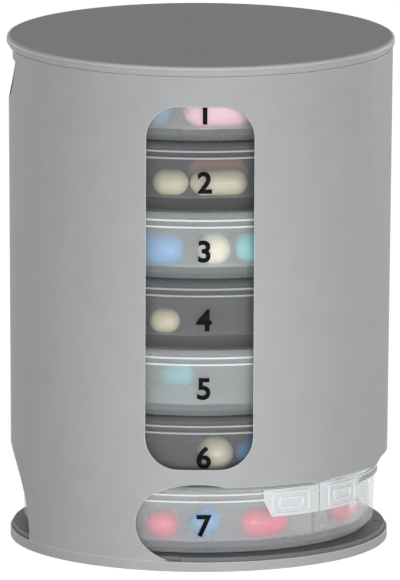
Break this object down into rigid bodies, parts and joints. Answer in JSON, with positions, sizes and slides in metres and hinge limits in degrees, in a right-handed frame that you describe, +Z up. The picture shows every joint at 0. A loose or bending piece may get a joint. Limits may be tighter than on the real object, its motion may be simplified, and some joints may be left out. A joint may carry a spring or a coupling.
{
  "type": "weekly pill tower with slide-out day trays",
  "caption": "Round grey tower with a front window, a stack of round day trays whose quarter lids snap shut, a side mouth where the lowest tray slides out, and a lift-off cap.",
  "frame": {"origin": "centre of the tower's foot ring, on the surface it stands on", "axes": "+Z up along the tower's axis, the window faces -Y, the lowest tray leaves towards +X"},
  "size_m": [0.108, 0.108, 0.1418],
  "materials": {
    "grey_plastic": "fine satin, moulded",
    "dark_grey_plastic": "satin, moulded",
    "frosted_clear_plastic": "frosted, translucent",
    "smoke_plastic": "smoke grey, translucent"
  },
  "bodies": {
    "tower": {"housing_shell": "grey_plastic", "base_plate": "dark_grey_plastic"},
    "sat_drawer": {"sat_tray": "frosted_clear_plastic", "sat_spine": "frosted_clear_plastic"},
    "sat_lid_front": {"sat_lid_front": "frosted_clear_plastic"},
    "sat_lid_right": {"sat_lid_right": "frosted_clear_plastic"},
    "sat_lid_back": {"sat_lid_back": "frosted_clear_plastic"},
    "sat_lid_left": {"sat_lid_left": "frosted_clear_plastic"},
    "fri_drawer": {"fri_tray": "smoke_plastic", "fri_spine": "smoke_plastic"},
    "fri_lid_front": {"fri_lid_front": "smoke_plastic"},
    "fri_lid_right": {"fri_lid_right": "smoke_plastic"},
    "fri_lid_back": {"fri_lid_back": "smoke_plastic"},
    "fri_lid_left": {"fri_lid_left": "smoke_plastic"},
    "thu_drawer": {"thu_tray": "frosted_clear_plastic", "thu_spine": "frosted_clear_plastic"},
    "thu_lid_front": {"thu_lid_front": "frosted_clear_plastic"},
    "thu_lid_right": {"thu_lid_right": "frosted_clear_plastic"},
    "thu_lid_back": {"thu_lid_back": "frosted_clear_plastic"},
    "thu_lid_left": {"thu_lid_left": "frosted_clear_plastic"},
    "wed_drawer": {"wed_tray": "smoke_plastic", "wed_spine": "smoke_plastic"},
    "wed_lid_front": {"wed_lid_front": "smoke_plastic"},
    "wed_lid_right": {"wed_lid_right": "smoke_plastic"},
    "wed_lid_back": {"wed_lid_back": "smoke_plastic"},
    "wed_lid_left": {"wed_lid_left": "smoke_plastic"},
    "tue_drawer": {"tue_tray": "frosted_clear_plastic", "tue_spine": "frosted_clear_plastic"},
    "tue_lid_front": {"tue_lid_front": "frosted_clear_plastic"},
    "tue_lid_right": {"tue_lid_right": "frosted_clear_plastic"},
    "tue_lid_back": {"tue_lid_back": "frosted_clear_plastic"},
    "tue_lid_left": {"tue_lid_left": "frosted_clear_plastic"},
    "mon_drawer": {"mon_tray": "smoke_plastic", "mon_spine": "smoke_plastic"},
    "mon_lid_front": {"mon_lid_front": "smoke_plastic"},
    "mon_lid_right": {"mon_lid_right": "smoke_plastic"},
    "mon_lid_back": {"mon_lid_back": "smoke_plastic"},
    "mon_lid_left": {"mon_lid_left": "smoke_plastic"},
    "sun_drawer": {"sun_tray": "frosted_clear_plastic", "sun_spine": "frosted_clear_plastic"},
    "sun_lid_front": {"sun_lid_front": "frosted_clear_plastic"},
    "sun_lid_right": {"sun_lid_right": "frosted_clear_plastic"},
    "sun_lid_back": {"sun_lid_back": "frosted_clear_plastic"},
    "sun_lid_left": {"sun_lid_left": "frosted_clear_plastic"},
    "tower_lid": {"tower_lid": "grey_plastic"}
  },
  "joints": [
    {"name": "sat_slide", "type": "slide", "parent": "tower", "child": "sat_drawer", "axis": [1, 0, 0], "range_m": [0, 0.105]},
    {"name": "fri_lift", "type": "slide", "parent": "tower", "child": "fri_drawer", "axis": [0, 0, 1], "range_m": [0, 0.12]},
    {"name": "thu_lift", "type": "slide", "parent": "fri_drawer", "child": "thu_drawer", "axis": [0, 0, 1], "range_m": [0, 0.1]},
    {"name": "wed_lift", "type": "slide", "parent": "thu_drawer", "child": "wed_drawer", "axis": [0, 0, 1], "range_m": [0, 0.08]},
    {"name": "tue_lift", "type": "slide", "parent": "wed_drawer", "child": "tue_drawer", "axis": [0, 0, 1], "range_m": [0, 0.072]},
    {"name": "mon_lift", "type": "slide", "parent": "tue_drawer", "child": "mon_drawer", "axis": [0, 0, 1], "range_m": [0, 0.072]},
    {"name": "sun_lift", "type": "slide", "parent": "mon_drawer", "child": "sun_drawer", "axis": [0, 0, 1], "range_m": [0, 0.072]},
    {"name": "cap_lift", "type": "slide", "parent": "sun_drawer", "child": "tower_lid", "axis": [0, 0, 1], "range_m": [0, 0.072]},
    {"name": "sat_lid_front_hinge", "type": "hinge", "parent": "sat_drawer", "child": "sat_lid_front", "pos_m": [0.00181, -0.00201, 0.02328], "axis": [-0.7431, -0.6691, 0], "range_deg": [0, 85]},
    {"name": "sat_lid_right_hinge", "type": "hinge", "parent": "sat_drawer", "child": "sat_lid_right", "pos_m": [0.00181, -0.00201, 0.02328], "axis": [-0.7431, -0.6691, 0], "range_deg": [0, 85]},
    {"name": "sat_lid_back_hinge", "type": "hinge", "parent": "sat_drawer", "child": "sat_lid_back", "pos_m": [-0.00181, 0.00201, 0.02328], "axis": [0.7431, 0.6691, 0], "range_deg": [0, 85]},
    {"name": "sat_lid_left_hinge", "type": "hinge", "parent": "sat_drawer", "child": "sat_lid_left", "pos_m": [-0.00181, 0.00201, 0.02328], "axis": [0.7431, 0.6691, 0], "range_deg": [0, 85]},
    {"name": "fri_lid_front_hinge", "type": "hinge", "parent": "fri_drawer", "child": "fri_lid_front", "pos_m": [0.00181, -0.00201, 0.04256], "axis": [-0.7431, -0.6691, 0], "range_deg": [0, 85]},
    {"name": "fri_lid_right_hinge", "type": "hinge", "parent": "fri_drawer", "child": "fri_lid_right", "pos_m": [0.00181, -0.00201, 0.04256], "axis": [-0.7431, -0.6691, 0], "range_deg": [0, 85]},
    {"name": "fri_lid_back_hinge", "type": "hinge", "parent": "fri_drawer", "child": "fri_lid_back", "pos_m": [-0.00181, 0.00201, 0.04256], "axis": [0.7431, 0.6691, 0], "range_deg": [0, 85]},
    {"name": "fri_lid_left_hinge", "type": "hinge", "parent": "fri_drawer", "child": "fri_lid_left", "pos_m": [-0.00181, 0.00201, 0.04256], "axis": [0.7431, 0.6691, 0], "range_deg": [0, 85]},
    {"name": "thu_lid_front_hinge", "type": "hinge", "parent": "thu_drawer", "child": "thu_lid_front", "pos_m": [0.00181, -0.00201, 0.06184], "axis": [-0.7431, -0.6691, 0], "range_deg": [0, 85]},
    {"name": "thu_lid_right_hinge", "type": "hinge", "parent": "thu_drawer", "child": "thu_lid_right", "pos_m": [0.00181, -0.00201, 0.06184], "axis": [-0.7431, -0.6691, 0], "range_deg": [0, 85]},
    {"name": "thu_lid_back_hinge", "type": "hinge", "parent": "thu_drawer", "child": "thu_lid_back", "pos_m": [-0.00181, 0.00201, 0.06184], "axis": [0.7431, 0.6691, 0], "range_deg": [0, 85]},
    {"name": "thu_lid_left_hinge", "type": "hinge", "parent": "thu_drawer", "child": "thu_lid_left", "pos_m": [-0.00181, 0.00201, 0.06184], "axis": [0.7431, 0.6691, 0], "range_deg": [0, 85]},
    {"name": "wed_lid_front_hinge", "type": "hinge", "parent": "wed_drawer", "child": "wed_lid_front", "pos_m": [0.00181, -0.00201, 0.08112], "axis": [-0.7431, -0.6691, 0], "range_deg": [0, 85]},
    {"name": "wed_lid_right_hinge", "type": "hinge", "parent": "wed_drawer", "child": "wed_lid_right", "pos_m": [0.00181, -0.00201, 0.08112], "axis": [-0.7431, -0.6691, 0], "range_deg": [0, 85]},
    {"name": "wed_lid_back_hinge", "type": "hinge", "parent": "wed_drawer", "child": "wed_lid_back", "pos_m": [-0.00181, 0.00201, 0.08112], "axis": [0.7431, 0.6691, 0], "range_deg": [0, 85]},
    {"name": "wed_lid_left_hinge", "type": "hinge", "parent": "wed_drawer", "child": "wed_lid_left", "pos_m": [-0.00181, 0.00201, 0.08112], "axis": [0.7431, 0.6691, 0], "range_deg": [0, 85]},
    {"name": "tue_lid_front_hinge", "type": "hinge", "parent": "tue_drawer", "child": "tue_lid_front", "pos_m": [0.00181, -0.00201, 0.1004], "axis": [-0.7431, -0.6691, 0], "range_deg": [0, 85]},
    {"name": "tue_lid_right_hinge", "type": "hinge", "parent": "tue_drawer", "child": "tue_lid_right", "pos_m": [0.00181, -0.00201, 0.1004], "axis": [-0.7431, -0.6691, 0], "range_deg": [0, 85]},
    {"name": "tue_lid_back_hinge", "type": "hinge", "parent": "tue_drawer", "child": "tue_lid_back", "pos_m": [-0.00181, 0.00201, 0.1004], "axis": [0.7431, 0.6691, 0], "range_deg": [0, 85]},
    {"name": "tue_lid_left_hinge", "type": "hinge", "parent": "tue_drawer", "child": "tue_lid_left", "pos_m": [-0.00181, 0.00201, 0.1004], "axis": [0.7431, 0.6691, 0], "range_deg": [0, 85]},
    {"name": "mon_lid_front_hinge", "type": "hinge", "parent": "mon_drawer", "child": "mon_lid_front", "pos_m": [0.00181, -0.00201, 0.11968], "axis": [-0.7431, -0.6691, 0], "range_deg": [0, 85]},
    {"name": "mon_lid_right_hinge", "type": "hinge", "parent": "mon_drawer", "child": "mon_lid_right", "pos_m": [0.00181, -0.00201, 0.11968], "axis": [-0.7431, -0.6691, 0], "range_deg": [0, 85]},
    {"name": "mon_lid_back_hinge", "type": "hinge", "parent": "mon_drawer", "child": "mon_lid_back", "pos_m": [-0.00181, 0.00201, 0.11968], "axis": [0.7431, 0.6691, 0], "range_deg": [0, 85]},
    {"name": "mon_lid_left_hinge", "type": "hinge", "parent": "mon_drawer", "child": "mon_lid_left", "pos_m": [-0.00181, 0.00201, 0.11968], "axis": [0.7431, 0.6691, 0], "range_deg": [0, 85]},
    {"name": "sun_lid_front_hinge", "type": "hinge", "parent": "sun_drawer", "child": "sun_lid_front", "pos_m": [0.00181, -0.00201, 0.13896], "axis": [-0.7431, -0.6691, 0], "range_deg": [0, 85]},
    {"name": "sun_lid_right_hinge", "type": "hinge", "parent": "sun_drawer", "child": "sun_lid_right", "pos_m": [0.00181, -0.00201, 0.13896], "axis": [-0.7431, -0.6691, 0], "range_deg": [0, 85]},
    {"name": "sun_lid_back_hinge", "type": "hinge", "parent": "sun_drawer", "child": "sun_lid_back", "pos_m": [-0.00181, 0.00201, 0.13896], "axis": [0.7431, 0.6691, 0], "range_deg": [0, 85]},
    {"name": "sun_lid_left_hinge", "type": "hinge", "parent": "sun_drawer", "child": "sun_lid_left", "pos_m": [-0.00181, 0.00201, 0.13896], "axis": [0.7431, 0.6691, 0], "range_deg": [0, 85]}
  ],
  "couplings": [
    {"joint": "sat_lid_front_hinge", "follows": "fri_lift", "rad_per_m": 12.362},
    {"joint": "sat_lid_right_hinge", "follows": "fri_lift", "rad_per_m": 12.362},
    {"joint": "sat_lid_back_hinge", "follows": "fri_lift", "rad_per_m": 12.362},
    {"joint": "sat_lid_left_hinge", "follows": "fri_lift", "rad_per_m": 12.362},
    {"joint": "fri_lid_front_hinge", "follows": "thu_lift", "rad_per_m": 14.835},
    {"joint": "fri_lid_right_hinge", "follows": "thu_lift", "rad_per_m": 14.835},
    {"joint": "fri_lid_back_hinge", "follows": "thu_lift", "rad_per_m": 14.835},
    {"joint": "fri_lid_left_hinge", "follows": "thu_lift", "rad_per_m": 14.835},
    {"joint": "thu_lid_front_hinge", "follows": "wed_lift", "rad_per_m": 18.544},
    {"joint": "thu_lid_right_hinge", "follows": "wed_lift", "rad_per_m": 18.544},
    {"joint": "thu_lid_back_hinge", "follows": "wed_lift", "rad_per_m": 18.544},
    {"joint": "thu_lid_left_hinge", "follows": "wed_lift", "rad_per_m": 18.544},
    {"joint": "wed_lid_front_hinge", "follows": "tue_lift", "rad_per_m": 20.604},
    {"joint": "wed_lid_right_hinge", "follows": "tue_lift", "rad_per_m": 20.604},
    {"joint": "wed_lid_back_hinge", "follows": "tue_lift", "rad_per_m": 20.604},
    {"joint": "wed_lid_left_hinge", "follows": "tue_lift", "rad_per_m": 20.604},
    {"joint": "tue_lid_front_hinge", "follows": "mon_lift", "rad_per_m": 20.604},
    {"joint": "tue_lid_right_hinge", "follows": "mon_lift", "rad_per_m": 20.604},
    {"joint": "tue_lid_back_hinge", "follows": "mon_lift", "rad_per_m": 20.604},
    {"joint": "tue_lid_left_hinge", "follows": "mon_lift", "rad_per_m": 20.604},
    {"joint": "mon_lid_front_hinge", "follows": "sun_lift", "rad_per_m": 20.604},
    {"joint": "mon_lid_right_hinge", "follows": "sun_lift", "rad_per_m": 20.604},
    {"joint": "mon_lid_back_hinge", "follows": "sun_lift", "rad_per_m": 20.604},
    {"joint": "mon_lid_left_hinge", "follows": "sun_lift", "rad_per_m": 20.604},
    {"joint": "sun_lid_front_hinge", "follows": "cap_lift", "rad_per_m": 20.604},
    {"joint": "sun_lid_right_hinge", "follows": "cap_lift", "rad_per_m": 20.604},
    {"joint": "sun_lid_back_hinge", "follows": "cap_lift", "rad_per_m": 20.604},
    {"joint": "sun_lid_left_hinge", "follows": "cap_lift", "rad_per_m": 20.604}
  ]
}
